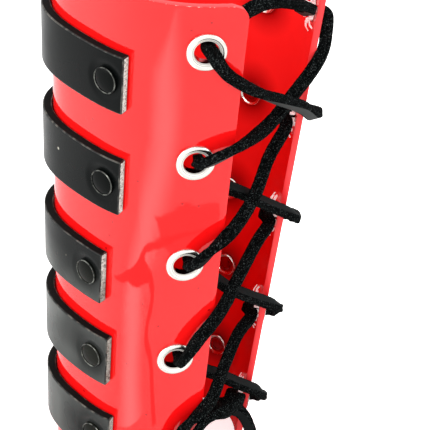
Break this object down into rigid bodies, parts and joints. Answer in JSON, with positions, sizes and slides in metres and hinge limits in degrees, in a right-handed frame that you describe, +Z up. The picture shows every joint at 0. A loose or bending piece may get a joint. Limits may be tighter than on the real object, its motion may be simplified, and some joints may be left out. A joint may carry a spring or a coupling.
{
  "type": "laced gauntlet",
  "caption": "Tapered forearm gauntlet: one bent glossy sheet open along its front, riveted straps round its back, and a lace criss-crossed through eyelets on both free edges.",
  "frame": {"origin": "on the surface that the wrist rim stands on, under the middle of the gauntlet without its lace", "axes": "+Z up the tube from the wrist rim to the elbow rim, the lacing gap faces -Y, and +X is the right panel seen from the gap"},
  "size_m": [0.091, 0.0905, 0.19],
  "materials": {
    "red_sheet": "glossy flexible sheet",
    "strap_leather": "satin black with raw grey cut ends",
    "rivet_cap": "gloss black lacquer",
    "eyelet_nickel": "polished nickel",
    "lace_leather": "matt suede sides with a smooth grain face"
  },
  "bodies": {
    "root": {"shell": "red_sheet", "strap_1": "strap_leather", "strap_2": "strap_leather", "strap_3": "strap_leather", "strap_4": "strap_leather", "strap_5": "strap_leather", "rivet_left_1": "rivet_cap", "rivet_right_1": "rivet_cap", "rivet_left_2": "rivet_cap", "rivet_right_2": "rivet_cap", "rivet_left_3": "rivet_cap", "rivet_right_3": "rivet_cap", "rivet_left_4": "rivet_cap", "rivet_right_4": "rivet_cap", "rivet_left_5": "rivet_cap", "rivet_right_5": "rivet_cap", "eyelet_left_1": "eyelet_nickel", "eyelet_right_1": "eyelet_nickel", "eyelet_left_2": "eyelet_nickel", "eyelet_right_2": "eyelet_nickel", "eyelet_left_3": "eyelet_nickel", "eyelet_right_3": "eyelet_nickel", "eyelet_left_4": "eyelet_nickel", "eyelet_right_4": "eyelet_nickel", "eyelet_left_5": "eyelet_nickel", "eyelet_right_5": "eyelet_nickel", "lace": "lace_leather"}
  },
  "joints": []
}
